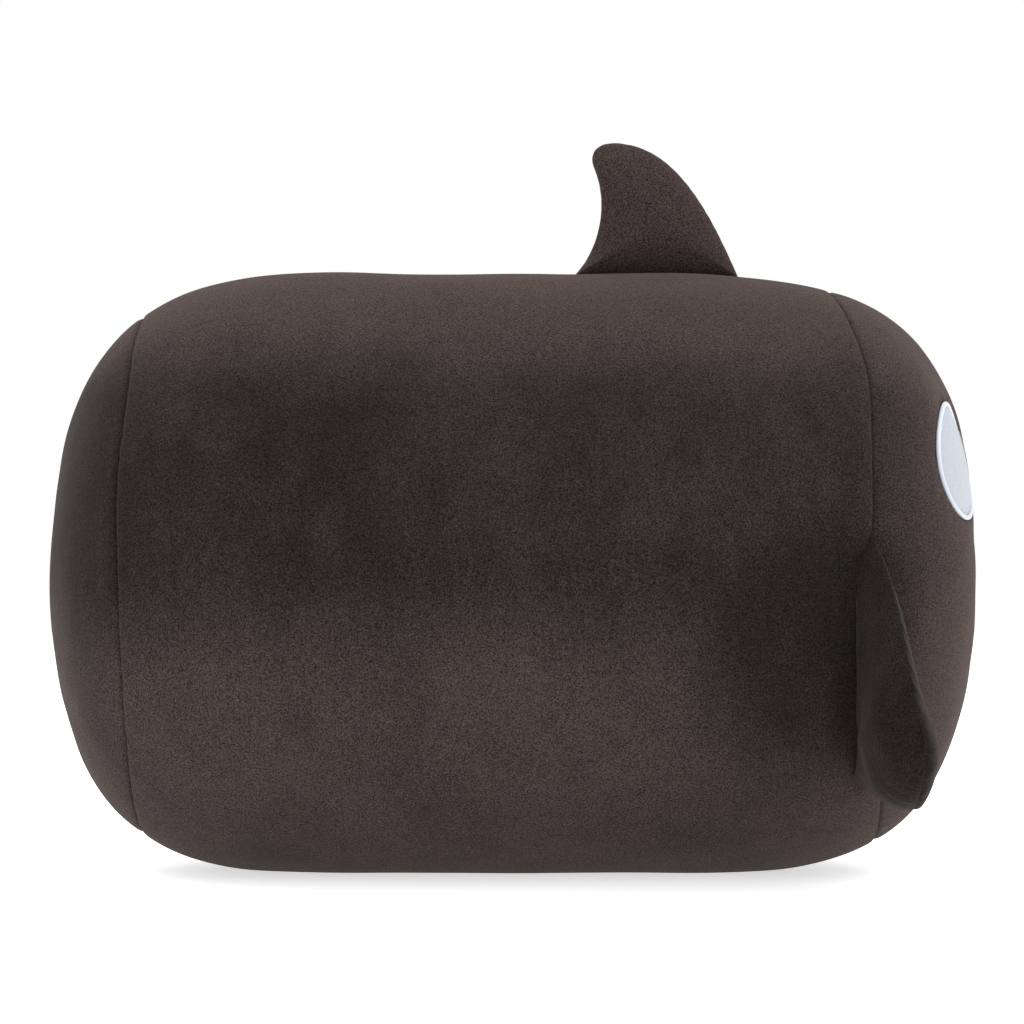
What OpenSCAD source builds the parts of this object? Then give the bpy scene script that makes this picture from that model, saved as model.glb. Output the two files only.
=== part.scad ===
// Plush shark: a stuffed bolster body lying on its belly, with a dorsal fin and two flippers.
// Millimetres. +X runs towards the face, +Y to the shark's own left, +Z up.
// The origin is on the floor, under the middle of the body.

/* [Body] */
// Length of the stuffed body from the face to the rear end
body_l = 503; // [490:1:530]
// Diameter of the stuffed body
body_d = 330; // [315:1:345]
// How far the belly is pressed flat where it rests
rest_depth = 3; // [0.8:0.1:4]
// Fullness of the ends: a higher power gives flatter ends
end_power = 5.6; // [5:0.01:7]
// Fullness of the shoulders, where 2 is a plain ellipse
shoulder_power = 2.34; // [2:0.01:2.6]
// Thickness of the plush fabric with its pile
fabric_t = 3; // [2.6:0.1:4]

/* [Seams] */
// Distance from mid-body to the front ring seam, at the height of the axis
front_seam_x = 182; // [176:1:188]
// Forward lean of the front ring seam towards the belly, in degrees
front_seam_tilt = 4.5; // [0:0.5:6]
// Distance from mid-body to the rear ring seam
rear_seam_x = 201; // [190:1:210]
// Width of the groove that each body seam leaves in the pile
seam_gap = 1.4; // [1.3:0.1:2]
// Radius of the sewing thread
thread_r = 0.55; // [0.4:0.05:0.6]
// Place of the closing seam, in degrees from straight down towards +Y
closing_seam_a = 38; // [20:1:60]

/* [Dorsal fin] */
// Where the fin's root starts, behind its leading edge
fin_root_back = 34; // [28:1:40]
// Where the fin's root ends, under its leading edge
fin_root_front = 123; // [116:1:128]
// Height of the fin's tip above the crest of the body
fin_height = 72; // [60:1:84]
// Full thickness of the stuffed fin
fin_t = 32; // [22:1:36]

/* [Flippers] */
// Upper end of a flipper's root on the ring seam, in degrees above the axis
flipper_top_a = 8; // [4:1:12]
// Lower end of a flipper's root, in degrees below the axis
flipper_low_a = 52; // [46:1:54]
// How far the flipper's tip reaches out past the seam
flipper_reach = 58; // [45:1:62]
// Depth of the front bulge of a flipper
flipper_front_t = 14; // [10:1:16]
// Depth of the rear bulge of a flipper
flipper_rear_t = 18; // [12:1:20]
// How far the stuffing pushes the flipper's tip forward
flipper_lean = 12; // [6:1:14]

/* [Eyes] */
// Long half-axis of the white eye patch
eye_a = 46; // [38:1:50]
// Short half-axis of the white eye patch
eye_b = 27; // [22:1:30]
// Distance of an eye patch's middle from the plane of symmetry
eye_y = 64; // [60:1:74]
// Height of an eye patch's middle above the axis
eye_z = 61.1; // [56:0.1:70]
// Rise of the patch's long axis towards the crown, in degrees
eye_tilt = 24; // [20:1:36]
// Width of the satin stitch border round a patch
eye_border = 2.4; // [1.6:0.1:4]

/* [Care label] */
// Width of the blank label that is sewn into the rear seam
label_w = 22; // [15:1:30]
// Length of the label outside the seam
label_l = 30; // [20:1:40]

/* [Hidden] */

$fn = 96;
half_l = body_l / 2;
skin_r0 = body_d / 2;
axis_h = skin_r0 - rest_depth;
crest_h = axis_h + skin_r0;
profile_step = 3;
big = 2 * body_l;
air = 0.1;                 // clearance between pieces of one body
thread_depth = 1.5;        // depth of a thread's middle below the pile

// A sewn-on limb: panel thickness, half thickness of its sewn rim, and its mesh counts
limb_fabric_t = 2;
rim_half_t = 1.2;
limb_cols = 24;
limb_rows = 9;
limb_air = 0.3;            // clearance round a limb's stuffing and its rim thread
rim_thread_r = 0.5;

// A limb's root stands off the body's skin, and its thread lies under it: on the crest
// for the fin, sunk in the ring seam's groove for a flipper
fin_root_h = 1.7;
fin_root_thread_h = 0.4;
flipper_root_gap = 2.6;
flipper_root_thread_h = -0.25;
root_thread_r = 0.35;
limb_corner = 3;           // height of a limb's rim where it meets its root

plush = [0.15, 0.135, 0.135];
fibre = [0.93, 0.93, 0.9];
dark_thread = [0.08, 0.075, 0.08];
white_cloth = [0.86, 0.87, 0.88];
white_thread = [0.95, 0.96, 0.98];

// ---- Shape of the body ----

// Skin radius at distance x from mid-body, for a skin grown outwards by g
function skin_r(x, g = 0) =
    (skin_r0 + g) * pow(max(0, 1 - pow(abs(x) / (half_l + g), end_power)), 1 / shoulder_power);

// Half section of the body as [radius, distance along the axis], grown by g
function skin_section(g) = [
    for (a = [-90 : profile_step : 90])
        [(skin_r0 + g) * pow(cos(a), 2 / shoulder_power),
         sign(a) * (half_l + g) * pow(abs(sin(a)), 2 / end_power)]
];

// The body turned about its axis, grown by g
module bolster(g = 0) {
    translate([0, 0, axis_h]) rotate([0, 90, 0])
        rotate_extrude() polygon(skin_section(g));
}

// Everything ahead of the front ring seam's plane, moved forward by d
module ahead_of_front_seam(d = 0) {
    translate([front_seam_x, 0, axis_h]) rotate([0, -front_seam_tilt, 0])
        translate([d, -big / 2, -big / 2]) cube(big);
}

// Everything behind the rear ring seam's plane, moved back by d
module behind_rear_seam(d = 0) {
    translate([-rear_seam_x - d - big, -big / 2, axis_h - big / 2]) cube(big);
}

// The hollow fabric skin of the whole body, pressed flat where it rests
module skin() {
    difference() {
        bolster();
        bolster(-fabric_t);
        translate([-big / 2, -big / 2, -big]) cube(big);
    }
}

// ---- Plane of the front ring seam ----

seam_centre = [front_seam_x, 0, axis_h];
seam_out = [0, -1, 0];
seam_up = [-sin(front_seam_tilt), 0, cos(front_seam_tilt)];
seam_ahead = [cos(front_seam_tilt), 0, sin(front_seam_tilt)];

// Direction from the seam's centre at angle a above the axis, on the right side
function seam_dir(a) = cos(a) * seam_out + sin(a) * seam_up;

// Distance from the seam's centre to the skin at angle a, refined n times
function seam_r(a, n = 4) =
    n == 0 ? skin_r(front_seam_x)
           : skin_r(front_seam_x - seam_r(a, n - 1) * sin(a) * sin(front_seam_tilt))
             / sqrt(1 - pow(sin(a) * sin(front_seam_tilt), 2));

// A point of the seam plane at [out, up], moved ahead of the plane by n
function seam_point(p, n = 0) = seam_centre + p[0] * seam_out + p[1] * seam_up + n * seam_ahead;

// ---- Curves and meshes ----

function mix(a, b, t) = (1 - t) * a + t * b;
function unit(v) = v / norm(v);

// Point at t on a cubic curve with four control points
function cubic(p, t) =
    pow(1 - t, 3) * p[0] + 3 * t * pow(1 - t, 2) * p[1] + 3 * t * t * (1 - t) * p[2] + pow(t, 3) * p[3];

// Point at u on three joined cubics, which take the shares s[0], s[1] and the rest
function outline(curves, s, u) =
    u < s[0] ? cubic(curves[0], u / s[0])
    : u < s[0] + s[1] ? cubic(curves[1], (u - s[0]) / s[1])
    : cubic(curves[2], (u - s[0] - s[1]) / (1 - s[0] - s[1]));

// Unit vector square to the outline at u, away from the limb
function outline_out(curves, s, u) =
    let (along = outline(curves, s, min(1, u + 0.002)) - outline(curves, s, max(0, u - 0.002)))
    unit([-along[1], along[0]]);

// Fullness of a stuffed limb at u along its root and v from root to rim: a wedge at
// the root, a round edge at the rim, and nothing at the two ends
function fullness(u, v) = pow(4 * u * (1 - u), 0.7) * 1.5 * sqrt(3) * v * sqrt(max(0, 1 - v));

// Steps that crowd towards both ends, and steps that crowd towards 1
function even_ends(i, n) = (1 - cos(180 * i / n)) / 2;
function late(j, n) = 1 - pow(1 - j / n, 2);

// A closed solid between two grids of points of the same size
module between(lower, upper) {
    rows = len(lower);
    cols = len(lower[0]);
    count = rows * cols;
    all_points = concat([for (r = lower) each r], [for (r = upper) each r]);
    rim = concat(
        [for (c = [0 : cols - 2]) [0, c]],
        [for (r = [0 : rows - 2]) [r, cols - 1]],
        [for (c = [cols - 1 : -1 : 1]) [rows - 1, c]],
        [for (r = [rows - 1 : -1 : 1]) [r, 0]]);
    ring = [for (p = rim) p[0] * cols + p[1]];
    faces = concat(
        [for (r = [0 : rows - 2], c = [0 : cols - 2], half = [0, 1])
            let (k = r * cols + c)
            half == 0 ? [k, k + 1, k + cols] : [k + 1, k + cols + 1, k + cols]],
        [for (r = [0 : rows - 2], c = [0 : cols - 2], half = [0, 1])
            let (k = count + r * cols + c)
            half == 0 ? [k, k + cols, k + 1] : [k + 1, k + cols, k + cols + 1]],
        [for (i = [0 : len(ring) - 1], half = [0, 1])
            let (a = ring[i], b = ring[(i + 1) % len(ring)])
            half == 0 ? [a, count + a, b] : [b, count + a, count + b]]);
    polyhedron(all_points, faces, convexity = 4);
}

// A round thread along a path, with the given number of sides; lay is any direction
// that the path never runs along
module thread(path, r, lay, sides = 6, closed = false) {
    n = len(path);
    rings = [
        for (i = [0 : n - 1])
            let (before = closed ? path[(i + n - 1) % n] : path[max(i - 1, 0)],
                 after = closed ? path[(i + 1) % n] : path[min(i + 1, n - 1)],
                 along = unit(after - before),
                 side = unit(cross(along, lay)),
                 up = cross(side, along))
            each [for (k = [0 : sides - 1])
                path[i] + r * (cos(360 * k / sides) * side + sin(360 * k / sides) * up)]];
    walls = [
        for (i = [0 : n - (closed ? 1 : 2)], k = [0 : sides - 1], half = [0, 1])
            let (j = (i + 1) % n, m = (k + 1) % sides,
                 a = i * sides + k, b = i * sides + m, c = j * sides + k, d = j * sides + m)
            half == 0 ? [a, b, c] : [b, d, c]];
    ends = closed ? [] : [
        [for (k = [sides - 1 : -1 : 0]) k],
        [for (k = [0 : sides - 1]) (n - 1) * sides + k]];
    polyhedron(rings, concat(walls, ends), convexity = 10);
}

// ---- Body pieces ----

// The gap that the closing seam leaves through the barrel's skin
module closing_slot() {
    translate([0, 0, axis_h]) rotate([closing_seam_a, 0, 0])
        translate([-big / 2, -seam_gap / 2, -skin_r0 - 5]) cube([big, seam_gap, skin_r0 / 2]);
}

module barrel_panel() {
    color(plush) difference() {
        skin();
        ahead_of_front_seam(-seam_gap / 2);
        behind_rear_seam(-seam_gap / 2);
        closing_slot();
    }
}

module rear_panel() {
    color(plush) intersection() {
        skin();
        behind_rear_seam(seam_gap / 2);
    }
}

module face_panel() {
    color(plush) intersection() {
        skin();
        ahead_of_front_seam(seam_gap / 2);
    }
}

module body_stuffing() {
    color(fibre) bolster(-fabric_t - air);
}

module front_ring_thread() {
    path = [for (a = [0 : 6 : 354]) seam_point((seam_r(a) - thread_depth) * [cos(a), sin(a)])];
    color(dark_thread) thread(path, thread_r, seam_ahead, closed = true);
}

module rear_ring_thread() {
    color(dark_thread) translate([-rear_seam_x, 0, axis_h]) rotate([0, 90, 0])
        rotate_extrude() translate([skin_r(rear_seam_x) - thread_depth, 0]) circle(thread_r, $fn = 16);
}

module closing_thread() {
    steps = 24;
    first = -rear_seam_x + 2;
    last = front_seam_x + 5;
    path = [
        for (i = [0 : steps])
            let (x = mix(first, last, i / steps), r = skin_r(x) - thread_depth)
            [x, r * sin(closing_seam_a), axis_h - r * cos(closing_seam_a)]];
    color(dark_thread) thread(path, thread_r, [0, sin(closing_seam_a), -cos(closing_seam_a)]);
}

// ---- Dorsal fin ----

fin_base_z = crest_h + fin_root_h;
fin_top_z = crest_h + fin_height;
// Trailing edge, tip and leading edge, from the back of the root to its front
fin_curves = [
    [[fin_root_back, fin_base_z + limb_corner], [fin_root_back + 11, fin_base_z + 15],
     [fin_root_back + 16, fin_top_z - 32], [fin_root_back + 9.5, fin_top_z - 11]],
    [[fin_root_back + 9.5, fin_top_z - 11], [fin_root_back + 7, fin_top_z - 3],
     [fin_root_back + 14, fin_top_z], [fin_root_back + 23, fin_top_z]],
    [[fin_root_back + 23, fin_top_z], [fin_root_back + 52, fin_top_z - 0.8],
     [fin_root_front - 17, fin_top_z - 31], [fin_root_front, fin_base_z + limb_corner]]];
fin_shares = [0.38, 0.1];

// Point of the fin's middle plane at u along the root and v from root to rim
function fin_mid(u, v) = mix(
    [mix(fin_root_back, fin_root_front, u), fin_base_z],
    outline(fin_curves, fin_shares, u), v);

function fin_point(u, v, y) = let (p = fin_mid(u, v)) [p[0], y, p[1]];
function fin_out(u, v) = rim_half_t + (fin_t / 2 - rim_half_t) * fullness(u, v);

// Grid of one side of the fin: depth is taken off its bulge, and trim drops that many
// rows all round
function fin_grid(side, depth = 0, least = 0, trim = 0) = [
    for (i = [trim : limb_cols - trim])
        [for (j = [trim : limb_rows - trim])
            let (u = even_ends(i, limb_cols), v = late(j, limb_rows))
            fin_point(u, v, side * max(least, fin_out(u, v) - depth))]];

module dorsal_left_panel() {
    color(plush) between(fin_grid(1, limb_fabric_t, air), fin_grid(1));
}

module dorsal_right_panel() {
    color(plush) between(fin_grid(-1), fin_grid(-1, limb_fabric_t, air));
}

module dorsal_stuffing() {
    depth = limb_fabric_t + limb_air;
    color(fibre) between(fin_grid(-1, depth, air / 2, 1), fin_grid(1, depth, air / 2, 1));
}

// The thread that closes the fin's rim lies just outside the two panels
module dorsal_rim_thread() {
    steps = 44;
    path = [
        for (i = [0 : steps])
            let (u = i / steps,
                 p = fin_mid(u, 1) + (rim_thread_r + limb_air) * outline_out(fin_curves, fin_shares, u))
            [p[0], 0, p[1]]];
    color(dark_thread) thread(path, rim_thread_r, [0, 1, 0]);
}

// The stitches that hold the fin's root run along the crest under it
module dorsal_root_thread() {
    steps = 12;
    path = [
        for (i = [0 : steps])
            let (x = mix(fin_root_back, fin_root_front, i / steps))
            [x, 0, axis_h + skin_r(x) + fin_root_thread_h]];
    color(dark_thread) thread(path, root_thread_r, [0, 0, 1]);
}

// ---- Flippers ----

flipper_root_r = seam_r(-flipper_low_a) + flipper_root_gap;
tip_out = skin_r(front_seam_x) + flipper_reach;
flipper_low_up = -flipper_root_r * sin(flipper_low_a);
flipper_low_out = flipper_root_r * cos(flipper_low_a);
flipper_top_r = seam_r(flipper_top_a) + flipper_root_gap;
flipper_first = [flipper_top_r * cos(flipper_top_a) + limb_corner, flipper_top_r * sin(flipper_top_a)];
flipper_last = [flipper_low_out + 1, flipper_low_up - limb_corner];
// Upper edge, tip and lower edge as [out, up] in the seam's plane
flipper_curves = [
    [flipper_first, flipper_first + [20, -8], [tip_out - 2, -40], [tip_out, -82]],
    [[tip_out, -82], [tip_out + 1, -106], [tip_out - 18, flipper_low_up + 1], [tip_out - 45, flipper_low_up]],
    [[tip_out - 45, flipper_low_up], [tip_out - 68, flipper_low_up - 1],
     flipper_last + [16, 0], flipper_last]];
flipper_shares = [0.5, 0.2];

function flipper_root(u) =
    let (a = mix(flipper_top_a, -flipper_low_a, u)) (seam_r(a) + flipper_root_gap) * [cos(a), sin(a)];

// Point of the flipper at u along its root and v from root to rim, n ahead of its middle
function flipper_point(u, v, n) =
    let (root = flipper_root(u),
         p = mix(root, outline(flipper_curves, flipper_shares, u), v),
         e = norm(p - root))
    seam_point(p, flipper_lean * e / (e + 18) + n);

// Grid of one side of the flipper with its own bulge, made as the fin's is
function flipper_grid(side, bulge, depth = 0, least = 0, trim = 0) = [
    for (i = [trim : limb_cols - trim])
        [for (j = [trim : limb_rows - trim])
            let (u = even_ends(i, limb_cols), v = late(j, limb_rows),
                 out = rim_half_t + (bulge - rim_half_t) * fullness(u, v))
            flipper_point(u, v, side * max(least, out - depth))]];

module flipper_front_panel() {
    color(plush) between(
        flipper_grid(1, flipper_front_t, limb_fabric_t, air), flipper_grid(1, flipper_front_t));
}

module flipper_rear_panel() {
    color(plush) between(
        flipper_grid(-1, flipper_rear_t), flipper_grid(-1, flipper_rear_t, limb_fabric_t, air));
}

module flipper_stuffing() {
    depth = limb_fabric_t + limb_air;
    color(fibre) between(
        flipper_grid(-1, flipper_rear_t, depth, air / 2, 1),
        flipper_grid(1, flipper_front_t, depth, air / 2, 1));
}

module flipper_rim_thread() {
    steps = 44;
    path = [
        for (i = [0 : steps])
            let (u = i / steps, p = outline(flipper_curves, flipper_shares, u),
                 out = (rim_thread_r + limb_air) * outline_out(flipper_curves, flipper_shares, u),
                 e = norm(p - flipper_root(u)))
            seam_point(p + out, flipper_lean * e / (e + 18))];
    color(dark_thread) thread(path, rim_thread_r, seam_ahead);
}

// The stitches that hold a flipper's root lie on the ring seam beside it
module flipper_root_thread() {
    steps = 16;
    path = [
        for (i = [0 : steps])
            let (a = mix(flipper_top_a, -flipper_low_a, i / steps))
            seam_point((seam_r(a) + flipper_root_thread_h) * [cos(a), sin(a)])];
    color(dark_thread) thread(path, root_thread_r, seam_ahead);
}

module on_left() { mirror([0, 1, 0]) children(); }

module right_flipper_front_panel() { flipper_front_panel(); }
module right_flipper_rear_panel() { flipper_rear_panel(); }
module right_flipper_stuffing() { flipper_stuffing(); }
module right_flipper_rim_thread() { flipper_rim_thread(); }
module right_flipper_root_thread() { flipper_root_thread(); }
module left_flipper_front_panel() { on_left() flipper_front_panel(); }
module left_flipper_rear_panel() { on_left() flipper_rear_panel(); }
module left_flipper_stuffing() { on_left() flipper_stuffing(); }
module left_flipper_rim_thread() { on_left() flipper_rim_thread(); }
module left_flipper_root_thread() { on_left() flipper_root_thread(); }

// ---- Eyes ----

patch_t = 1.2;
border_t = 0.9;
pupil_t = 0.7;
pupil_r = 8.5;
pupil_shift = 31;          // from the patch's middle towards its inner end
lift = 0.05;

// Ellipse with half-axes a and b, as seen from ahead of the face
module ellipse(a, b) {
    polygon([for (t = [0 : 6 : 354]) [a * cos(t), b * sin(t)]]);
}

// A prism along X through the face, over a flat shape centred on the right eye
module eye_prism() {
    translate([half_l / 2, -eye_y, axis_h + eye_z]) rotate([90, 0, 90]) rotate(eye_tilt)
        linear_extrude(half_l) children();
}

// A layer on the face's skin, from lift a to lift b
module face_layer(a, b) {
    difference() {
        bolster(b);
        bolster(a);
    }
}

module eye_patch() {
    color(white_cloth) intersection() {
        face_layer(lift, patch_t);
        eye_prism() ellipse(eye_a, eye_b);
    }
}

module eye_border() {
    color(white_thread) intersection() {
        face_layer(lift, border_t);
        eye_prism() difference() {
            ellipse(eye_a + air + eye_border, eye_b + air + eye_border);
            ellipse(eye_a + air, eye_b + air);
        }
    }
}

module eye_pupil() {
    color(dark_thread) intersection() {
        face_layer(patch_t + lift, patch_t + pupil_t);
        eye_prism() translate([pupil_shift, 0]) circle(pupil_r, $fn = 48);
    }
}

module right_eye_patch() { eye_patch(); }
module right_eye_border() { eye_border(); }
module right_eye_pupil() { eye_pupil(); }
module left_eye_patch() { on_left() eye_patch(); }
module left_eye_border() { on_left() eye_border(); }
module left_eye_pupil() { on_left() eye_pupil(); }

// ---- Care label ----

label_t = 0.5;
label_a = 30;              // above the axis, on the left side
module care_label() {
    color(white_cloth) translate([-rear_seam_x, 0, axis_h]) rotate([label_a, 0, 0])
        translate([-label_t / 2, skin_r(rear_seam_x) - thread_depth + thread_r + air, -label_w / 2])
            cube([label_t, label_l, label_w]);
}

barrel_panel();
rear_panel();
face_panel();
body_stuffing();
front_ring_thread();
rear_ring_thread();
closing_thread();
dorsal_left_panel();
dorsal_right_panel();
dorsal_stuffing();
dorsal_rim_thread();
dorsal_root_thread();
right_flipper_front_panel();
right_flipper_rear_panel();
right_flipper_stuffing();
right_flipper_rim_thread();
right_flipper_root_thread();
left_flipper_front_panel();
left_flipper_rear_panel();
left_flipper_stuffing();
left_flipper_rim_thread();
left_flipper_root_thread();
right_eye_patch();
right_eye_border();
right_eye_pupil();
left_eye_patch();
left_eye_border();
left_eye_pupil();
care_label();
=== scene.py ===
"""A plush shark lying on its belly: plush panels, fibre fill, stitches, eyes and label, in a small studio.

Every shape is a surface of two parameters, worked out with numpy as whole arrays. Lengths are in
metres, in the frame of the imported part: +X to the face, +Y to the shark's left, +Z up. An angle phi
round the body starts on its right side and is positive upwards.
"""

import math

import bpy
import numpy as np
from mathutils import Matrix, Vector


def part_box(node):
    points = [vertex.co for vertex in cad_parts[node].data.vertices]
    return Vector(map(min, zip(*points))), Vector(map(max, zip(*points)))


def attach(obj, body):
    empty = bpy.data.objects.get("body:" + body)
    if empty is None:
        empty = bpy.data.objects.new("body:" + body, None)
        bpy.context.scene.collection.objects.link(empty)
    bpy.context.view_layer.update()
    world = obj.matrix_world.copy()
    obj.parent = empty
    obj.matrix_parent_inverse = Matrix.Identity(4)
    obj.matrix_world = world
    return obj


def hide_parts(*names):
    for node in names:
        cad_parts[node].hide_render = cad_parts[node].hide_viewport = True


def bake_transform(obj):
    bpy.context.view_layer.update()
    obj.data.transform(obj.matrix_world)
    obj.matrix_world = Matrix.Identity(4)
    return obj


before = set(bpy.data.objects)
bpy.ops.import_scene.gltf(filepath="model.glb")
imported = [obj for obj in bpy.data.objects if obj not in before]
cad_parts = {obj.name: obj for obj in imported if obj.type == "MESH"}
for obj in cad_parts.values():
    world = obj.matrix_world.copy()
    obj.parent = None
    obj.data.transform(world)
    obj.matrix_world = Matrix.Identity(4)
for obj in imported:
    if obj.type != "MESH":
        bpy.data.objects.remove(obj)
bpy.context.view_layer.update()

MM = 0.001
TAU = 2 * math.pi
SIDES = {"right": -1, "left": 1}


# ---------------------------------------------------------------- sizes

def corners(node):
    """Lowest and highest corner of a CAD node, as arrays."""
    low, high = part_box(node)
    return np.array(low), np.array(high)


_, barrel_high = corners("barrel_panel")
fin_low, fin_high = corners("dorsal_left_panel")
patch_low, patch_high = corners("right_eye_patch")

# Body: a superellipse turned about its axis
HALF_L = corners("face_panel")[1][0]
SKIN_R = barrel_high[1]
CREST_Z = barrel_high[2]
AXIS_Z = CREST_Z - SKIN_R
END_POWER = 5.6
SHOULDER_POWER = 2.34
FABRIC_T = 3 * MM
SEAM_ALLOWANCE = 6 * MM

# Seams of the body: where the CAD has them, and how far the soft fill moves them
REAR_SEAM_X = -201 * MM
REAR_SEAM_BACK = 1.5 * MM
REAR_SEAM_SAG = 3.2 * MM
FRONT_SEAM_X = 182 * MM
FRONT_SEAM_TILT = math.radians(4.5)
FRONT_SEAM_PUSH = 2.8 * MM
CHEEK_BOW = 8.8 * MM
FLIPPER_TUCK = 5 * MM
CLOSING_PHI = -math.radians(90 + 38)

# Stitches: pitch, half length and radius
SEAM_STITCH = (3.6 * MM, 0.42 * 3.6 * MM, 0.4 * MM)
RIM_STITCH = (3 * MM, 1.2 * MM, 0.35 * MM)
FIN_ROOT_STITCH = (4.5 * MM, 1.5 * MM, 0.4 * MM)
FLIPPER_ROOT_STITCH = (4.5 * MM, 1.5 * MM, 0.35 * MM)

# Fin and flippers
FIN_BACK_X = fin_low[0]
FIN_FRONT_X = fin_high[0]
FIN_HALF_T = 16 * MM
FLIPPER_TOP_A = math.radians(8)
FLIPPER_LOW_A = math.radians(-52)
FLIPPER_REACH = 58 * MM
FLIPPER_LEAN = 12 * MM
FLIPPER_REAR_T = 25 * MM
FLIPPER_FRONT_T = 11.5 * MM
FLIPPER_CENTRE = (171 * MM, -84 * MM)
LIMB_FABRIC_T = 2.2 * MM

# Eyes: each one sits a little nearer the middle than its CAD box, and its long axis leans
EYE_A = 46 * MM
EYE_B = 27 * MM
EYE_TILT = math.radians(24)
EYE_Y = (patch_low[1] + patch_high[1]) / 2 - 1.5 * MM
EYE_Z = (patch_low[2] + patch_high[2]) / 2
BORDER_HALF = 1.25 * MM
EYE_BED = 3.4 * MM
PUPIL_R = 7.5 * MM
PUPIL_SHIFT = 35 * MM
PUPIL_DROP = -4 * MM


# ---------------------------------------------------------------- small helpers

def bell(x, middle, width):
    """A smooth hump of height 1 at the middle: exp(-((x - middle) / width)^2)."""
    return np.exp(-(((x - middle) / width) ** 2))


def mix(a, b, t):
    """From a at t 0 to b at t 1."""
    return a + (b - a) * t


def waves(points, size, count, seed):
    """Smooth lumps about `size` across, mostly from -1 to 1: sines along seeded random directions."""
    rng = np.random.default_rng(seed)
    total = 0
    for _ in range(count):
        way = rng.normal(size=3)
        way *= TAU / (np.linalg.norm(way) * size * rng.uniform(0.7, 1.5))
        total = total + np.sin(points @ way + rng.uniform(0, TAU))
    return total / math.sqrt(count)


def gathers(along, size, seed):
    """Puckers along a seam, mostly from -1 to 1: sines of the distance, with pitches near `size`."""
    rng = np.random.default_rng(seed)
    pitches = size * rng.uniform(0.6, 1.7, 7)
    return sum(np.sin(along * TAU / p + rng.uniform(0, TAU)) for p in pitches) / math.sqrt(7)


# ---------------------------------------------------------------- the body's surface

def skin_radius(x):
    """Radius of the body at x, from |x / half length|^5.6 + (radius / largest)^2.34 = 1."""
    return SKIN_R * np.clip(1 - np.abs(x / HALF_L) ** END_POWER, 0, None) ** (1 / SHOULDER_POWER)


def half_section():
    """Half section of the body from rear to face: x, radius, arc length, and the outward normal. Its
    middle is sampled along x; each end, which stands upright at its pole, by the superellipse's angle."""
    middle = 0.8
    a = np.linspace(0, math.pi / 2, 1500)
    end_x = HALF_L * np.sin(a) ** (2 / END_POWER)
    end_r = SKIN_R * np.cos(a) ** (2 / SHOULDER_POWER)
    keep = end_x > middle * HALF_L
    mid_x = np.linspace(-middle, middle, 1201) * HALF_L
    x = np.concatenate([-end_x[keep][::-1], mid_x, end_x[keep]])
    r = np.concatenate([end_r[keep][::-1], skin_radius(mid_x), end_r[keep]])
    dx, dr = np.gradient(x), np.gradient(r)
    step = np.hypot(dx, dr)
    s = np.concatenate([[0], np.cumsum(np.hypot(np.diff(x), np.diff(r)))])
    return x, r, s, -dr / step, dx / step


SECTION_X, SECTION_R, SECTION_S, SECTION_NX, SECTION_NR = half_section()
WHOLE_S = SECTION_S[-1]
REAR_SEAM_S = float(np.interp(REAR_SEAM_X, SECTION_X, SECTION_S))


def soft_floor(z):
    """Height z pressed up against the floor: a smooth maximum of z and 0, rounded over 2 mm, and then
    0.05 mm lower."""
    rounding = 2 * MM
    return 0.5 * (z + np.sqrt(z * z + rounding * rounding)) - 0.05 * MM


def body_point(s, phi, lift):
    """Point of the body at arc length s from the rear pole and angle phi, moved out along the normal by
    lift and pressed against the floor."""
    x = np.interp(s, SECTION_S, SECTION_X) + lift * np.interp(s, SECTION_S, SECTION_NX)
    r = np.interp(s, SECTION_S, SECTION_R) + lift * np.interp(s, SECTION_S, SECTION_NR)
    return np.stack([x, -r * np.cos(phi), soft_floor(AXIS_Z + r * np.sin(phi))], -1)


def height_angle(phi):
    """Angle above the axis on either side, from -90 to 90 degrees."""
    return np.arcsin(np.clip(np.sin(phi), -1, 1))


def rear_seam_s(phi):
    """Arc length of the rear ring seam: a ring that sags back a little, most of all above mid-height."""
    sag = bell(height_angle(phi), math.radians(15), math.radians(20))
    return REAR_SEAM_S - REAR_SEAM_BACK - REAR_SEAM_SAG * sag


def front_seam_s(phi):
    """Arc length of the front ring seam: a leaning plane, pushed forward by the fill behind it, bowed
    further forward over the cheeks, and drawn back where a flipper's root begins."""
    up = height_angle(phi)
    x = np.full(np.shape(phi), FRONT_SEAM_X)
    for _ in range(6):
        x = FRONT_SEAM_X - math.tan(FRONT_SEAM_TILT) * skin_radius(x) * np.sin(phi)
    x = x + FRONT_SEAM_PUSH + CHEEK_BOW * bell(up, math.radians(43), math.radians(24))
    x = x - FLIPPER_TUCK * bell(up, 0, math.radians(7))
    return np.interp(x, SECTION_X, SECTION_S)


def seam_dip(d, along, seed):
    """How deep the plush is drawn in at distance d from a seam: a narrow cusp, a wide shoulder, and
    gathers that fade within a finger's width."""
    cusp = 1.8 * MM * np.exp(-d / (1.0 * MM))
    shoulder = 0.35 * MM * np.exp(-d / (10 * MM))
    pucker = 0.16 * MM * gathers(along, 12 * MM, seed) * np.exp(-d / (8 * MM))
    return cusp + shoulder + pucker


def fin_valley(points):
    """Valley that the fin's root stitches pull into the crest, by distance to the root line."""
    past = np.maximum(np.maximum(FIN_BACK_X - points[..., 0], points[..., 0] - FIN_FRONT_X), 0)
    aside = np.hypot(past, points[..., 1])
    cusp = 2 * MM * np.exp(-aside / (3 * MM))
    hollow = 0.4 * MM * bell(aside, 0, 10 * MM)
    return (points[..., 2] > AXIS_Z) * (cusp + hollow)


def flipper_pull(d, phi):
    """Extra depth of the front seam where a flipper is sewn into it."""
    up = height_angle(phi)
    middle = (FLIPPER_TOP_A + FLIPPER_LOW_A) / 2
    return bell(up, middle, math.radians(30)) ** 2 * 1.8 * MM * np.exp(-d / (6 * MM))


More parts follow.
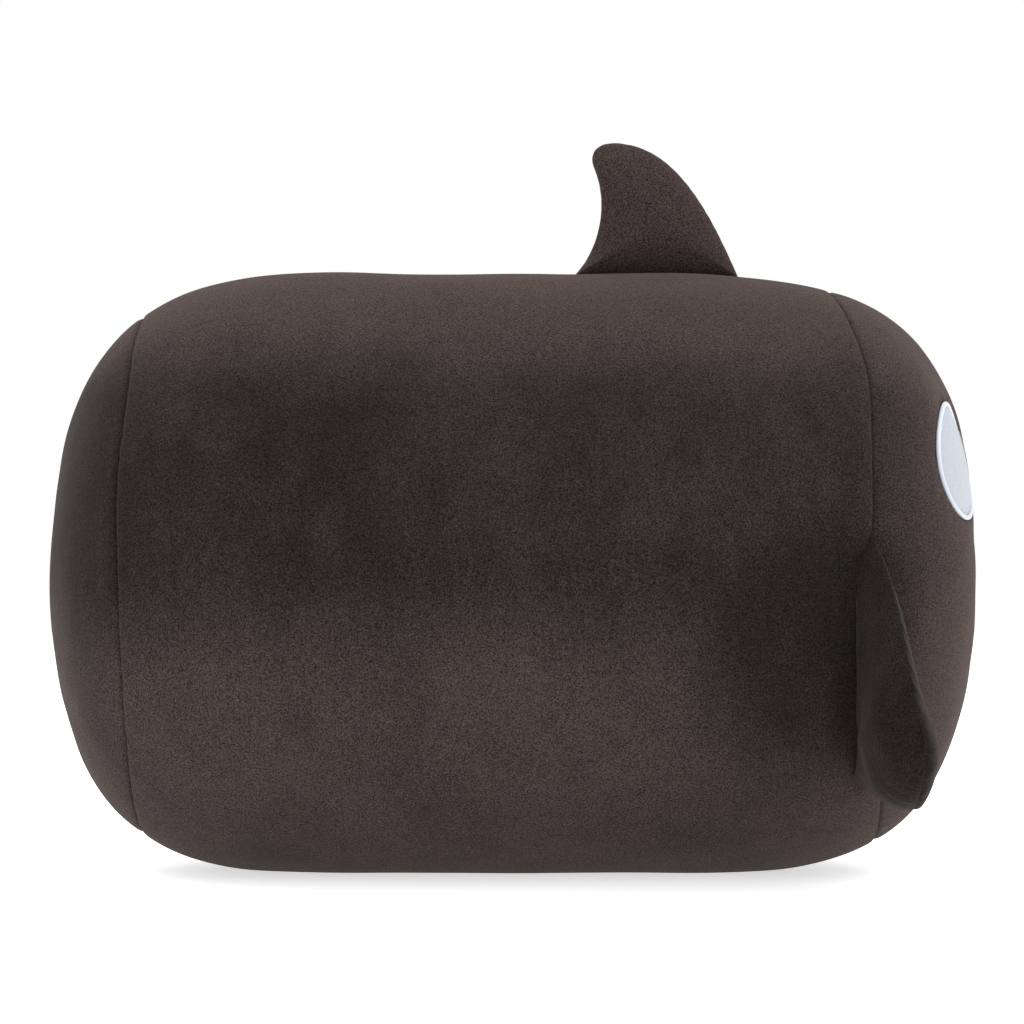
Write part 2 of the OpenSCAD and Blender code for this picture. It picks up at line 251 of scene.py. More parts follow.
def eye_plane(points, side):
    """Coordinates along the long and short axes of an eye's ellipse, seen from ahead; side is -1 for the
    right eye and 1 for the left."""
    inward = -side * points[..., 1] - EYE_Y
    up = points[..., 2] - EYE_Z
    return (inward * math.cos(EYE_TILT) + up * math.sin(EYE_TILT),
            -inward * math.sin(EYE_TILT) + up * math.cos(EYE_TILT))


def brow(points):
    """Fullness of the face between the eyes: a bell across the width, times a constant with a second bell
    up the brow. It starts at x 190 mm and is whole 30 mm further on."""
    tall = 1.2 * MM + 3 * MM * bell(points[..., 2], AXIS_Z + 88 * MM, 34 * MM)
    return tall * bell(points[..., 1], 0, 32 * MM) * np.clip((points[..., 0] - 0.19) / 0.03, 0, 1)


def eye_sink(points):
    """How deep each eye presses into the face: a groove along its satin border, a bed under it, and the
    brow's fullness taken back there. off is the distance outside the ellipse."""
    total = 0
    full = brow(points)
    for side in SIDES.values():
        a, b = eye_plane(points, side)
        e = np.hypot(a / EYE_A, b / EYE_B) + 1e-9
        off = (e - 1) * e / (np.hypot(a / EYE_A**2, b / EYE_B**2) + 1e-6)
        groove = 1.2 * MM * np.exp(-np.maximum(off - BORDER_HALF, 0) / (1.6 * MM))
        shoulder = 0.7 * MM * np.exp(-np.maximum(off, 0) / (9 * MM))
        beside = groove + shoulder + full * np.exp(-off / (6 * MM))
        total = total + np.where(off > 0, beside, EYE_BED + full)
    return total * (points[..., 0] > 0)


# Arc length of the front seam at the crest, where the barrel's thicker pile ends
PILE_END_S = float(front_seam_s(np.array(math.pi / 2)))
PILE_RISE = 0.9 * MM
PILE_FADE = 60 * MM


def body_lift(s, phi):
    """Height of the plush over the plain body: the barrel's pile, which fades towards both rings, the
    brow, and two sizes of lumps in the fill, less the dips at every seam and root."""
    flat = body_point(s, phi, 0)
    to_rear = np.abs(s - rear_seam_s(phi))
    to_front = np.abs(s - front_seam_s(phi))
    on_barrel = (s > rear_seam_s(phi)) & (s < front_seam_s(phi))
    to_closing = np.abs((phi - CLOSING_PHI + math.pi) % TAU - math.pi) * SKIN_R
    pile = PILE_RISE * np.clip((s - REAR_SEAM_S) / PILE_FADE, 0, 1)
    pile = pile * np.clip((PILE_END_S - s) / PILE_FADE, 0, 1)
    lift = pile + brow(flat)
    lift = lift + 0.5 * MM * waves(flat, 100 * MM, 9, 5) + 0.14 * MM * waves(flat, 30 * MM, 9, 6)
    lift = lift - seam_dip(to_rear, phi * SKIN_R, 11) - seam_dip(to_front, phi * SKIN_R, 12)
    lift = lift - flipper_pull(to_front, phi) - on_barrel * seam_dip(to_closing, s, 13)
    return lift - fin_valley(flat) - eye_sink(flat)


# ---------------------------------------------------------------- meshes

def grid_quads(rows, cols, wrap_rows=False, wrap_cols=False):
    """Quads of a grid whose points are in row order; a wrapped side joins its last line to its first."""
    r = np.arange(rows if wrap_rows else rows - 1)
    c = np.arange(cols if wrap_cols else cols - 1)
    r, c = np.meshgrid(r, c, indexing="ij")
    r2, c2 = (r + 1) % rows, (c + 1) % cols
    return np.stack([r * cols + c, r * cols + c2, r2 * cols + c2, r2 * cols + c], -1).reshape(-1, 4)


def make_piece(name, points, quads, others, material):
    """A smooth-shaded closed mesh at the origin. others are its faces without four corners. The volume
    under its faces says whether they look outwards; if not, all are turned over."""
    points = np.asarray(points).reshape(-1, 3)
    a, b, c, d = (points[quads[:, k]] for k in range(4))
    volume = np.sum(np.cross(b, c) * a) + np.sum(np.cross(c, d) * a)
    for face in others:
        fan = points[list(face)]
        volume += np.sum(np.cross(fan[1:-1], fan[2:]) * fan[0])
    order = -1 if volume < 0 else 1
    faces = [list(f)[::order] for f in (*quads.tolist(), *others)]
    mesh = bpy.data.meshes.new(name)
    mesh.from_pydata(points.tolist(), [], faces)
    mesh.polygons.foreach_set("use_smooth", np.ones(len(mesh.polygons), bool))
    mesh.materials.append(material)
    piece = bpy.data.objects.new(name, mesh)
    bpy.context.scene.collection.objects.link(piece)
    return piece


def ring_piece(name, rows, material):
    """A doughnut: rows of closed loops, the last row joined to the first."""
    rows = np.asarray(rows)
    return make_piece(name, rows, grid_quads(*rows.shape[:2], True, True), [], material)


def pole_piece(name, rows, first, last, material):
    """A closed ball: rows of closed loops between two poles."""
    rows = np.asarray(rows)
    n, m = rows.shape[:2]
    points = np.concatenate([rows.reshape(-1, 3), [first, last]])
    k = np.arange(m)
    start = (n - 1) * m
    cap = np.stack([np.full(m, n * m), (k + 1) % m, k], -1)
    end = np.stack([np.full(m, n * m + 1), start + k, start + (k + 1) % m], -1)
    return make_piece(name, points, grid_quads(n, m, False, True), [*cap.tolist(), *end.tolist()], material)


def sleeve_piece(name, rows, material):
    """A closed bar: rows of closed loops, with a flat end over the first and the last."""
    rows = np.asarray(rows)
    n, m = rows.shape[:2]
    ends = [list(range(m - 1, -1, -1)), list(range((n - 1) * m, n * m))]
    return make_piece(name, rows, grid_quads(n, m, False, True), ends, material)


def stitches(name, path, side, size, material):
    """Small capsules end to end along a path, one a pitch, joined as one mesh: five rings of six corners
    each. side gives a direction beside the path at each of its points, and size the stitch's pitch, half
    length and radius."""
    pitch, half_length, radius = size
    step = np.linalg.norm(np.diff(path, axis=0), axis=1)
    s = np.concatenate([[0], np.cumsum(step)])
    at = np.arange(pitch / 2, s[-1], pitch)
    middle = np.stack([np.interp(at, s, path[:, k]) for k in range(3)], -1)
    ahead = np.stack([np.interp(at + pitch / 3, s, path[:, k]) for k in range(3)], -1)
    behind = np.stack([np.interp(at - pitch / 3, s, path[:, k]) for k in range(3)], -1)
    along = ahead - behind
    along /= np.linalg.norm(along, axis=1)[:, None]
    across = np.stack([np.interp(at, s, side[:, k]) for k in range(3)], -1)
    across -= along * np.sum(across * along, axis=1)[:, None]
    across /= np.linalg.norm(across, axis=1)[:, None]
    up = np.cross(along, across)
    lie = np.array([-1, -0.8, 0, 0.8, 1]) * half_length
    wide = np.array([0.45, 0.9, 1, 0.9, 0.45]) * radius
    corner = np.arange(6)
    turn = (corner * TAU / 6)[None, :, None]
    ring = np.cos(turn) * across[:, None, None] + np.sin(turn) * up[:, None, None]
    points = middle[:, None, None] + lie[:, None, None] * along[:, None, None] + wide[:, None, None] * ring
    first = np.arange(len(at))[:, None, None] * 30
    quads = (grid_quads(5, 6, False, True)[None] + first).reshape(-1, 4)
    caps = (np.stack([corner[::-1], 24 + corner])[None] + first).reshape(-1, 6)
    return make_piece(name, points, quads, caps.tolist(), material)


# ---------------------------------------------------------------- materials

def srgb(code):
    """A hex colour as linear red, green, blue and alpha."""
    c = np.array([int(code[i : i + 2], 16) / 255 for i in (1, 3, 5)])
    linear = np.where(c <= 0.04045, c / 12.92, ((c + 0.055) / 1.055) ** 2.4)
    return (*linear.tolist(), 1.0)


def add(tree, kind, inputs, **settings):
    """Adds a node. settings are its properties; each of its inputs is a value or another node's output."""
    made = tree.nodes.new(kind)
    for key, value in settings.items():
        setattr(made, key, value)
    for key, value in inputs.items():
        if isinstance(value, bpy.types.NodeSocket):
            tree.links.new(value, made.inputs[key])
        else:
            made.inputs[key].default_value = value
    return made


def new_material(name, **constants):
    """A material whose shader has these constants, as (material, tree, shader)."""
    material = bpy.data.materials.new(name)
    material.use_nodes = True
    tree = material.node_tree
    tree.nodes.clear()
    shader = add(tree, "ShaderNodeBsdfPrincipled", {k.replace("_", " "): v for k, v in constants.items()})
    add(tree, "ShaderNodeOutputMaterial", {"Surface": shader.outputs["BSDF"]})
    return material, tree, shader


def noise(tree, place, size_mm, **settings):
    """Smooth noise from 0 to 1, about size_mm across."""
    return add(tree, "ShaderNodeTexNoise", {"Vector": place, "Scale": 1000 / size_mm, **settings}).outputs[0]


def ramp(tree, value, start, stop, low, high, smooth=False):
    """Runs from low to high while the value runs from start to stop, and stays level outside."""
    return add(tree, "ShaderNodeMapRange",
               {"Value": value, "From Min": start, "From Max": stop, "To Min": low, "To Max": high},
               interpolation_type="SMOOTHSTEP" if smooth else "LINEAR").outputs[0]


def scalar(tree, operation, *terms):
    """A sum, product or absolute value of its terms. MULTIPLY_ADD is first times second plus third."""
    return add(tree, "ShaderNodeMath", dict(enumerate(terms)), operation=operation).outputs[0]


def times(tree, colour, shade):
    """A colour times a shade."""
    return add(tree, "ShaderNodeVectorMath", {0: colour, 1: shade}, operation="MULTIPLY").outputs[0]


def dress(tree, shader, colour, height, strength, depth):
    """Gives the shader its colour, and bumps of this strength, as deep as depth where height is 1."""
    bump = add(tree, "ShaderNodeBump", {"Height": height, "Strength": strength, "Distance": depth})
    tree.links.new(colour, shader.inputs["Base Color"])
    tree.links.new(bump.outputs[0], shader.inputs["Normal"])


# How much each layer lifts the pile, the level they start from, and where the colour starts and stops
# changing with their sum
CLOUD_WEIGHT = 1.1
STREAK_WEIGHT = 0.7
GRAIN_WEIGHT = 0.5
PILE_LEVEL = 0.56
PRESSED_AT = 1.55
LIFTED_AT = 2.45
GRAIN_MM = 0.8
STROKE_TURN = math.radians(28)


def minky(name, pressed, lifted, cloud_mm, fleck, sheen, tint, light_bands=(), hollow=None):
    """Minky, a knitted polyester plush with a dense 2 mm pile, dyed and brushed. The pile drinks light face
    on and glows at grazing angles. Where a hand or the floor has lifted it, it looks lighter and warmer than
    where it is pressed, in cloudy patches with streaks along the stroke. Light and shade are painted in too:
    lighter or darker in each band it is given, and a painted shadow round the hollow place. The fibre tips
    give a fine grain. The colour runs from pressed to lifted by the sum of these."""
    material, tree, shader = new_material(
        name, Roughness=0.95, Specular_IOR_Level=0.1, Sheen_Weight=sheen, Sheen_Roughness=0.36,
        Sheen_Tint=srgb(tint))
    place = add(tree, "ShaderNodeTexCoord", {}).outputs["Object"]
    stroke = add(tree, "ShaderNodeMapping", {"Vector": place, "Rotation": (0, STROKE_TURN, 0),
                                             "Scale": (1, 1, 0.5)}).outputs[0]
    clouds = noise(tree, stroke, cloud_mm, Detail=4, Roughness=0.6, Distortion=0.4)
    streaks = noise(tree, stroke, cloud_mm / 6, Detail=3, Roughness=0.65)
    grain = noise(tree, place, GRAIN_MM, Detail=1.5, Roughness=0.8)
    axes = add(tree, "ShaderNodeSeparateXYZ", {"Vector": place}).outputs
    level = PILE_LEVEL
    # Painted light and shade: a band of positive weight paints the colour lighter, one of negative weight
    # darker.
    for axis, start, stop, weight in light_bands:
        level = scalar(tree, "ADD", ramp(tree, axes[axis], start, stop, 0, weight, True), level)
    # Painted shadow: darker within 90 mm of the hollow place on either side, darkest within 20 mm.
    if hollow:
        aside = scalar(tree, "ABSOLUTE", axes["Y"])
        beside = add(tree, "ShaderNodeCombineXYZ", {"X": axes["X"], "Y": aside, "Z": axes["Z"]}).outputs[0]
        off = add(tree, "ShaderNodeVectorMath", {0: beside, 1: hollow}, operation="DISTANCE").outputs["Value"]
        level = scalar(tree, "ADD", ramp(tree, off, 20 * MM, 90 * MM, FLIPPER_SHADOW_WEIGHT, 0, True), level)
    patchy = scalar(tree, "MULTIPLY_ADD", clouds, CLOUD_WEIGHT, level)
    streaky = scalar(tree, "MULTIPLY_ADD", streaks, STREAK_WEIGHT, patchy)
    ragged = scalar(tree, "MULTIPLY_ADD", grain, GRAIN_WEIGHT, streaky)
    # The mix follows the pile's random clouds, streaks and grain, plus the painted light and shade of the
    # bands and the hollow place.
    lift_and_light = ramp(tree, ragged, PRESSED_AT, LIFTED_AT, 0, 1)
    hue = add(tree, "ShaderNodeMix", {"Factor": lift_and_light, 6: srgb(pressed), 7: srgb(lifted)},
              data_type="RGBA").outputs[2]
    tips = ramp(tree, grain, 0.34, 0.66, 1 - fleck, 1 + fleck)
    height = scalar(tree, "MULTIPLY_ADD", streaks, 1.2, grain)
    dress(tree, shader, times(tree, hue, tips), height, 0.6, 0.6 * MM)
    return material


def spun(name, colour, uneven_mm, low, roughness, sheen):
    """A spun or wound polyester fibre: one colour, with small uneven shades along it and a soft gloss."""
    material, tree, shader = new_material(name, Roughness=roughness, Sheen_Weight=sheen)
    place = add(tree, "ShaderNodeTexCoord", {}).outputs["Object"]
    uneven = noise(tree, place, uneven_mm, Detail=2)
    tone = times(tree, srgb(colour)[:3], ramp(tree, uneven, 0, 1, low, 2 - low))
    dress(tree, shader, tone, uneven, 0.3, 0.1 * uneven_mm * MM)
    return material


def woven_ribbon(name, colour, rib_mm):
    """Satin ribbon, woven from fine polyester and left blank: smooth, with faint ribs across it."""
    material, tree, shader = new_material(name, Roughness=0.4, Sheen_Weight=0.2)
    place = add(tree, "ShaderNodeTexCoord", {}).outputs["Object"]
    ribs = add(tree, "ShaderNodeTexWave", {"Vector": place, "Scale": 50 / rib_mm, "Distortion": 0.6},
               bands_direction="X").outputs["Fac"]
    tone = times(tree, srgb(colour)[:3], ramp(tree, ribs, 0, 1, 0.9, 1.0))
    dress(tree, shader, tone, ribs, 0.3, 0.1 * MM)
    return material


# Painted light and shade on the body's colour, in bands. Each band is an axis, the places along it where
# the change starts and stops, and its weight: painted light on the crown, the lower sides and the face,
# and painted shade on the rear end.
PAINTED_LIGHT_BANDS = (("Z", 0.25, 0.30, 0.75), ("Z", 0.17, 0.10, 0.62), ("X", -0.17, -0.24, -0.12),
              ("X", 0.17, 0.23, 0.65))
# Painted shadow: the colour is painted darker round this place behind each flipper, where the flipper shades
# the body.
FLIPPER_SHADOW_PLACE = (0.155, 0.16, 0.11)
FLIPPER_SHADOW_WEIGHT = -0.7

# Minky for the body and fin, with painted light and shade; the same cloth in darker colours for the
# flippers, as painted shade; and undyed minky for the eye patches
dark_minky = minky("dark_minky_plush", "#1f1c19", "#3c322f", 120, 0.75, 0.14, "#c4b0a6", PAINTED_LIGHT_BANDS,
                   FLIPPER_SHADOW_PLACE)
# Painted shade: the flippers' colours are darker than the body's to stand for the shade they lie in.
flipper_shaded_minky = minky("flipper_shaded_minky_plush", "#181513", "#2c2624", 60, 0.75, 0.14, "#b8a59b")
white_minky = minky("white_minky_plush", "#aeb3ba", "#b7bbc1", 60, 0.08, 0.1, "#ffffff")
# Crimped loose fibre, blown in as stuffing
fibre_fill = spun("polyester_fibre_fill", "#ecebe4", 4, 0.8, 0.9, 0.4)
# Spun sewing thread, for machine seams and hand stitches
dark_thread = spun("dark_polyester_thread", "#110f0e", 0.6, 0.8, 0.9, 0)
# Glossy filament thread, laid side by side by an embroidery machine
white_satin = spun("white_satin_thread", "#c8ccd6", 0.6, 0.94, 0.38, 0.2)
black_satin = spun("black_satin_thread", "#0f0e10", 0.6, 0.8, 0.3, 0.2)
blank_ribbon = woven_ribbon("blank_satin_ribbon", "#cfcec9", 0.5)


def declare(piece, nodes, limb=None):
    """Hides the CAD nodes that a piece stands for. A piece of the body is hung under the body's empty; a
    limb's piece only has its transform baked into its mesh."""
    if limb is None:
        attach(piece, "body")
    else:
        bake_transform(piece)
    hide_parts(*nodes)


# ---------------------------------------------------------------- body

FINE = np.array([0.12, 0.5, 0.9, 1.4, 2.1, 3.0, 4.3, 6.2]) * MM


def round_angles():
    """Angles round the body, about 2.6 mm apart, finer beside the closing seam and the fin's root."""
    base = np.arange(400) * TAU / 400 - math.pi
    closing = np.concatenate([-FINE[::-1], [0], FINE]) / SKIN_R + CLOSING_PHI
    crest = np.array([-5.4, -3.9, -2.7, -1.7, -0.8, 0, 0.8, 1.7, 2.7, 3.9, 5.4]) * MM / SKIN_R + math.pi / 2
    far = np.abs(base[:, None] - np.array([CLOSING_PHI, math.pi / 2])).min(axis=1) * SKIN_R > 7 * MM
    return np.sort(np.concatenate([base[far], closing, crest]))


PHI = round_angles()


def cloth_rows(s):
    """The body's cloth along rows of arc lengths, as rows of points on its outside."""
    phi = np.broadcast_to(PHI, s.shape)
    return body_point(s, phi, body_lift(s, phi))


def lining_rows(s, depth):
    """The same cloth's inside, at a depth under its outside."""
    phi = np.broadcast_to(PHI, s.shape)
    return body_point(s, phi, body_lift(s, phi) - depth)


def turned_edge(seam, inwards):
    """The edge of a panel turned in at a seam: down along the seam, then up again one cloth's thickness
    further in. inwards is 1 for a panel that lies past the seam, and -1 for one before it."""
    phi = PHI + 0 * seam
    lip = body_lift(seam + inwards * FINE[0], phi)
    steps = ((FINE[0], SEAM_ALLOWANCE / 2), (FINE[0], SEAM_ALLOWANCE), (FABRIC_T, SEAM_ALLOWANCE))
    return [body_point(seam + inwards * d, phi, lip - depth) for d, depth in steps]


def barrel():
    """The middle panel: outside from the rear seam to the front one, then its lining back again."""
    first, last = rear_seam_s(PHI), front_seam_s(PHI)
    start, stop = first + FINE[-1], last - FINE[-1]
    s = [first + d for d in FINE[:-1]]
    s += [mix(start, stop, t) for t in np.linspace(0, 1, 120)]
    s += [last - d for d in FINE[-2::-1]]
    inside = [mix(start, stop, t) for t in np.linspace(1, 0, 30)]
    outside = [*cloth_rows(np.array(s)), *turned_edge(last, -1)]
    lining = [*lining_rows(np.array(inside), FABRIC_T), *turned_edge(first, 1)[::-1]]
    return ring_piece("barrel_plush", outside + lining, dark_minky)


def end_panel(name, seam, pole):
    """An end panel: outside from its pole to its ring seam, then its lining back to the pole."""
    way = np.sign(pole - np.mean(seam))
    start = seam + way * FINE[-1]
    s = [mix(pole, start, t) for t in np.linspace(0, 1, 66)[1:]] + [seam + way * d for d in FINE[-2::-1]]
    inside = [mix(start, pole, t) for t in np.linspace(0, 1, 16)[:-1]]
    rows = [*cloth_rows(np.array(s)), *turned_edge(seam, way), *lining_rows(np.array(inside), FABRIC_T)]
    tips = [body_point(np.array(pole), np.array(0.0), -depth) for depth in (0.0, FABRIC_T)]
    return pole_piece(name, rows, *tips, dark_minky)


def body_fill():
    """The stuffing: the plain body 7.5 mm under the cloth's face, 4.5 mm deeper round the turned edges at
    the seams, and nowhere under 5 mm high."""
    phi = np.arange(120) * TAU / 120
    rear, seam = rear_seam_s(phi), front_seam_s(phi)
    s = [mix(0.0, rear, t) for t in np.linspace(0, 1, 22)[1:]]
    s += [mix(rear, seam, t) for t in np.linspace(0, 1, 66)[1:]]
    s += [mix(seam, WHOLE_S, t) for t in np.linspace(0, 1, 22)[1:-1]]
    s = np.array(s)
    near = np.minimum(np.abs(s - rear), np.abs(s - seam))
    lift = -7.5 * MM - 4.5 * MM * np.exp(-((near / (9 * MM)) ** 4))
    rows = body_point(s, np.broadcast_to(phi, s.shape), lift)
    rows[..., 2] = np.maximum(rows[..., 2], 5 * MM)
    tips = [body_point(np.array(end), np.array(0.0), -7.5 * MM) for end in (0.0, WHOLE_S)]
    return pole_piece("body_fibre_fill", rows, *tips, fibre_fill)


declare(barrel(), ["barrel_panel"])
declare(end_panel("rear_plush", rear_seam_s(PHI), 0.0), ["rear_panel"])
declare(end_panel("face_plush", front_seam_s(PHI), WHOLE_S), ["face_panel"])
declare(body_fill(), ["body_stuffing"])


# ---------------------------------------------------------------- seams of the body

def body_path(s, phi, height):
    """A line on the body along arc lengths s and angles phi, at a height over the plush, and the outward
    directions at its points: the step from the plain body to 5 mm over it."""
    path = body_point(s, phi, body_lift(s, phi) + height)
    return path, body_point(s, phi, 5 * MM + 0 * s) - body_point(s, phi, 0 * s)


def seam_stitches(name, s, phi, node):
    """Machine stitches at the bottom of a body seam, along arc lengths s and angles phi."""
    piece = stitches(name, *body_path(s, phi, 0.15 * MM), SEAM_STITCH, dark_thread)
    declare(piece, [node])


round_phi = np.linspace(-math.pi, math.pi, 721)
seam_stitches("front_ring_stitches", front_seam_s(round_phi), round_phi, "front_ring_thread")
seam_stitches("rear_ring_stitches", rear_seam_s(round_phi), round_phi, "rear_ring_thread")
closing_phi = np.array(CLOSING_PHI)
closing_s = np.linspace(rear_seam_s(closing_phi) + 4 * MM, front_seam_s(closing_phi) - 4 * MM, 300)
seam_stitches("closing_stitches", closing_s, CLOSING_PHI + 0 * closing_s, "closing_thread")


# ---------------------------------------------------------------- limbs

def cubic(p, count=200):
    """Points on a cubic curve with four control points."""
    t = np.linspace(0, 1, count)[:, None]
    p = np.array(p)
    return (1 - t) ** 3 * p[0] + 3 * t * (1 - t) ** 2 * p[1] + 3 * t**2 * (1 - t) * p[2] + t**3 * p[3]


def spaced(curve, count, closed=False):
    """The curve's points moved to even distances along it, and those distances."""
    s = np.concatenate([[0], np.cumsum(np.linalg.norm(np.diff(curve, axis=0), axis=1))])
    at = np.linspace(0, s[-1], count, endpoint=not closed)
    return np.stack([np.interp(at, s, curve[:, k]) for k in range(curve.shape[1])], -1), at


LIMB_COLS = 260
LIMB_RHO = np.sin(np.linspace(0, 1, 58)[1:] * math.pi / 2)


class Limb:
    """A fin or flipper, stuffed between two panels. Its edge is a closed flat curve round a centre: the rim,
    from one end of the root to the other, then the root back again. `surface` bends that flat shape into
    its place, `across` is the direction in which it bulges, and slim is how much it tapers upwards."""

    def __init__(self, rim, root, centre, surface, across, slim, seed):
        edge = np.concatenate([*rim, root[1:]])
        self.edge, self.along = spaced(edge, LIMB_COLS, True)
        rim_length = spaced(np.concatenate(rim), 2)[1][-1]
        to_root = np.minimum(self.along, rim_length - self.along)
        self.on_rim = np.clip(0.5 + to_root / (8 * MM), 0, 1)
        self.rim, _ = spaced(np.concatenate(rim), 300)
        self.centre = np.array(centre)
        spoke = self.edge - self.centre
        self.upwards = slim * np.clip(spoke[:, 1] / np.linalg.norm(spoke, axis=1), 0, 1)
        self.surface = surface
        self.across = across
        self.seed = seed

    def side(self, way, bulge, rho=LIMB_RHO, inset=0.0):
        """Rows of one panel from centre to edge. It bulges by the root of 1 - rho^2.2, and upwards, where
        slim is 1, by 1 - rho^1.3 to the power 0.62. It is drawn in to a groove along the rim, and puckers
        beside it. inset takes a thickness off."""
        spoke = self.edge - self.centre
        reach = np.linalg.norm(spoke, axis=1)
        flat = self.centre + rho[:, None, None] * spoke
        middle = self.surface(flat)
        inner = reach * (1 - rho[:, None])
        lumps = 1 + 0.035 * waves(middle, 38 * MM, 6, self.seed)
        pucker = 0.45 * MM * gathers(self.along, 8 * MM, self.seed + way)
        pucker = pucker * np.exp(-inner / (5 * MM)) * self.on_rim
        full = (1 - rho[:, None] ** (2.2 - 0.9 * self.upwards)) ** (0.5 + 0.12 * self.upwards)
        half = np.maximum(0.1 * MM, bulge * lumps * full + pucker * np.minimum(1, 5 * full) - inset)
        drawn = (1.2 * MM * np.exp(-half / (0.9 * MM)) * self.on_rim + 0.7 * inset) * rho[:, None] ** 8
        middle = self.surface(flat - (drawn / reach)[..., None] * spoke)
        return middle + way * half[..., None] * self.across

    def top(self, way, bulge, inset=0.0):
        """The point of a panel over the centre."""
        middle = self.surface(self.centre[None, None])[0, 0]
        lumps = 1 + 0.035 * waves(middle, 38 * MM, 6, self.seed)
        return middle + way * (bulge * lumps - inset) * self.across


def limb_panel(limb, name, way, bulge, cloth):
    """A panel of a limb: its outside from the middle to its edge, and its lining back to the middle."""
    rows = [*limb.side(way, bulge), *limb.side(way, bulge, LIMB_RHO[::-4], LIMB_FABRIC_T)]
    return pole_piece(name, rows, limb.top(way, bulge), limb.top(way, bulge, LIMB_FABRIC_T), cloth)


def limb_fill(limb, name, bulges):
    """A limb's stuffing: both its sides under the cloth, joined a little way inside the edge."""
    rho = 0.94 * LIMB_RHO[::4]
    deep = 1.5 * LIMB_FABRIC_T
    rows = [*limb.side(-1, bulges[0], rho, deep), *limb.side(1, bulges[1], rho[::-1], deep)]
    return pole_piece(name, rows, limb.top(-1, bulges[0], deep), limb.top(1, bulges[1], deep), fibre_fill)


def rim_stitches(limb, name):
    """Stitches in the groove between a limb's two panels, 1.3 mm inside the flat rim."""
    inwards = limb.centre - limb.rim
    inwards /= np.linalg.norm(inwards, axis=1)[:, None]
    path = limb.surface((limb.rim + 1.3 * MM * inwards)[None])[0]
    return stitches(name, path, np.broadcast_to(limb.across, path.shape), RIM_STITCH, dark_thread)


# ---------------------------------------------------------------- dorsal fin

FIN_ROOT_Z = CREST_Z - 3 * MM
FIN_CENTRE = (FIN_BACK_X + 44 * MM, CREST_Z + 27 * MM)
ACROSS_FIN = np.array([0.0, 1.0, 0.0])


def fin_surface(flat):
    """The fin's middle plane: (x, z) upright in the plane of symmetry."""
    return np.stack([flat[..., 0], 0 * flat[..., 0], flat[..., 1]], -1)


def fin_rim():
    """Trailing edge, tip and leading edge as (x, z), from behind the root to ahead of it: three cubics, in
    mm from the back of the root at the crest."""
    trailing = [(-2.5, -2), (12, 11), (19, 38), (10.5, 59)]
    tip = [(10.5, 59), (6.5, 68), (12, 73.5), (21, 73.5)]
    leading = [(21, 73.5), (52, 73), (71, 44), (90.5, -2)]
    return [cubic(np.array(c) * MM + (FIN_BACK_X, CREST_Z)) for c in (trailing, tip, leading)]


def fin_root_stitches():
    """Hand stitches down both sides of the fin's root, in the valley."""
    x = np.concatenate([np.linspace(FIN_BACK_X, FIN_FRONT_X, 80), np.linspace(FIN_FRONT_X, FIN_BACK_X, 80)])
    y = np.repeat([1.6 * MM, -1.6 * MM], 80)
    path = np.stack([x, y, FIN_ROOT_Z + 1.0 * MM + 0 * x], -1)
    side = np.broadcast_to(ACROSS_FIN, path.shape)
    return stitches("fin_root_stitches", path, side, FIN_ROOT_STITCH, dark_thread)


# The fin's root, from just ahead of its front end back to its rear end, 3 mm under the crest
fin_root = np.linspace((FIN_FRONT_X + 1 * MM, FIN_ROOT_Z), (FIN_BACK_X, FIN_ROOT_Z), 60)
fin = Limb(fin_rim(), fin_root, FIN_CENTRE, fin_surface, ACROSS_FIN, slim=0.3, seed=31)
for way, word in ((1, "left"), (-1, "right")):
    declare(limb_panel(fin, f"fin_{word}_plush", way, FIN_HALF_T, dark_minky),
            [f"dorsal_{word}_panel"], "dorsal_fin")
declare(limb_fill(fin, "fin_fibre_fill", (FIN_HALF_T, FIN_HALF_T)), ["dorsal_stuffing"],
        "dorsal_fin")
declare(rim_stitches(fin, "fin_rim_stitches"), ["dorsal_rim_thread"], "dorsal_fin")
declare(fin_root_stitches(), ["dorsal_root_thread"])


# ---------------------------------------------------------------- flippers

def seam_frame(side):
    """Centre of the front seam's plane and its three directions: out to one side, up, and ahead."""
    t = FRONT_SEAM_TILT
    up = np.array([-math.sin(t), 0, math.cos(t)])
    ahead = np.array([math.cos(t), 0, math.sin(t)])
    return np.array([FRONT_SEAM_X, 0, AXIS_Z]), np.array([0, side, 0]), up, ahead


def seam_ring(a):
    """Bottom of the front seam's groove at angle a, as distances out, up and ahead of the seam's centre."""
    centre, out, up, ahead = seam_frame(-1)
    p = body_point(front_seam_s(a), a, -3.4 * MM + 0 * a) - centre
    return np.stack([p @ out, p @ up, p @ ahead], -1)


def flipper_surface(side):
    """Bends a flat flipper, as (out, up), into its place: on the seam at its root, and further forward
    the further out, most of all near its lower tip."""
    centre, out, up, ahead = seam_frame(side)

    def surface(flat):
        """Each flat point moved ahead of the seam's plane by its lean: 12 e / (e + 18) mm at e mm outside
        the seam, the seam's own place where e is small, and 3.5 mm in a bell near the lower tip."""
        a = np.arctan2(flat[..., 1], flat[..., 0])
        ring = seam_ring(a)
        e = np.maximum(np.linalg.norm(flat, axis=-1) - np.linalg.norm(ring[..., :2], axis=-1), 0)
        lean = FLIPPER_LEAN * e / (e + 18 * MM) + ring[..., 2] * np.exp(-e / (8 * MM))
        lean = lean + 3.5 * MM * bell(flat[..., 1], -92 * MM, 17 * MM) * np.minimum(e / (40 * MM), 1)
        return centre + flat[..., :1] * out + flat[..., 1:] * up + lean[..., None] * ahead

    return surface


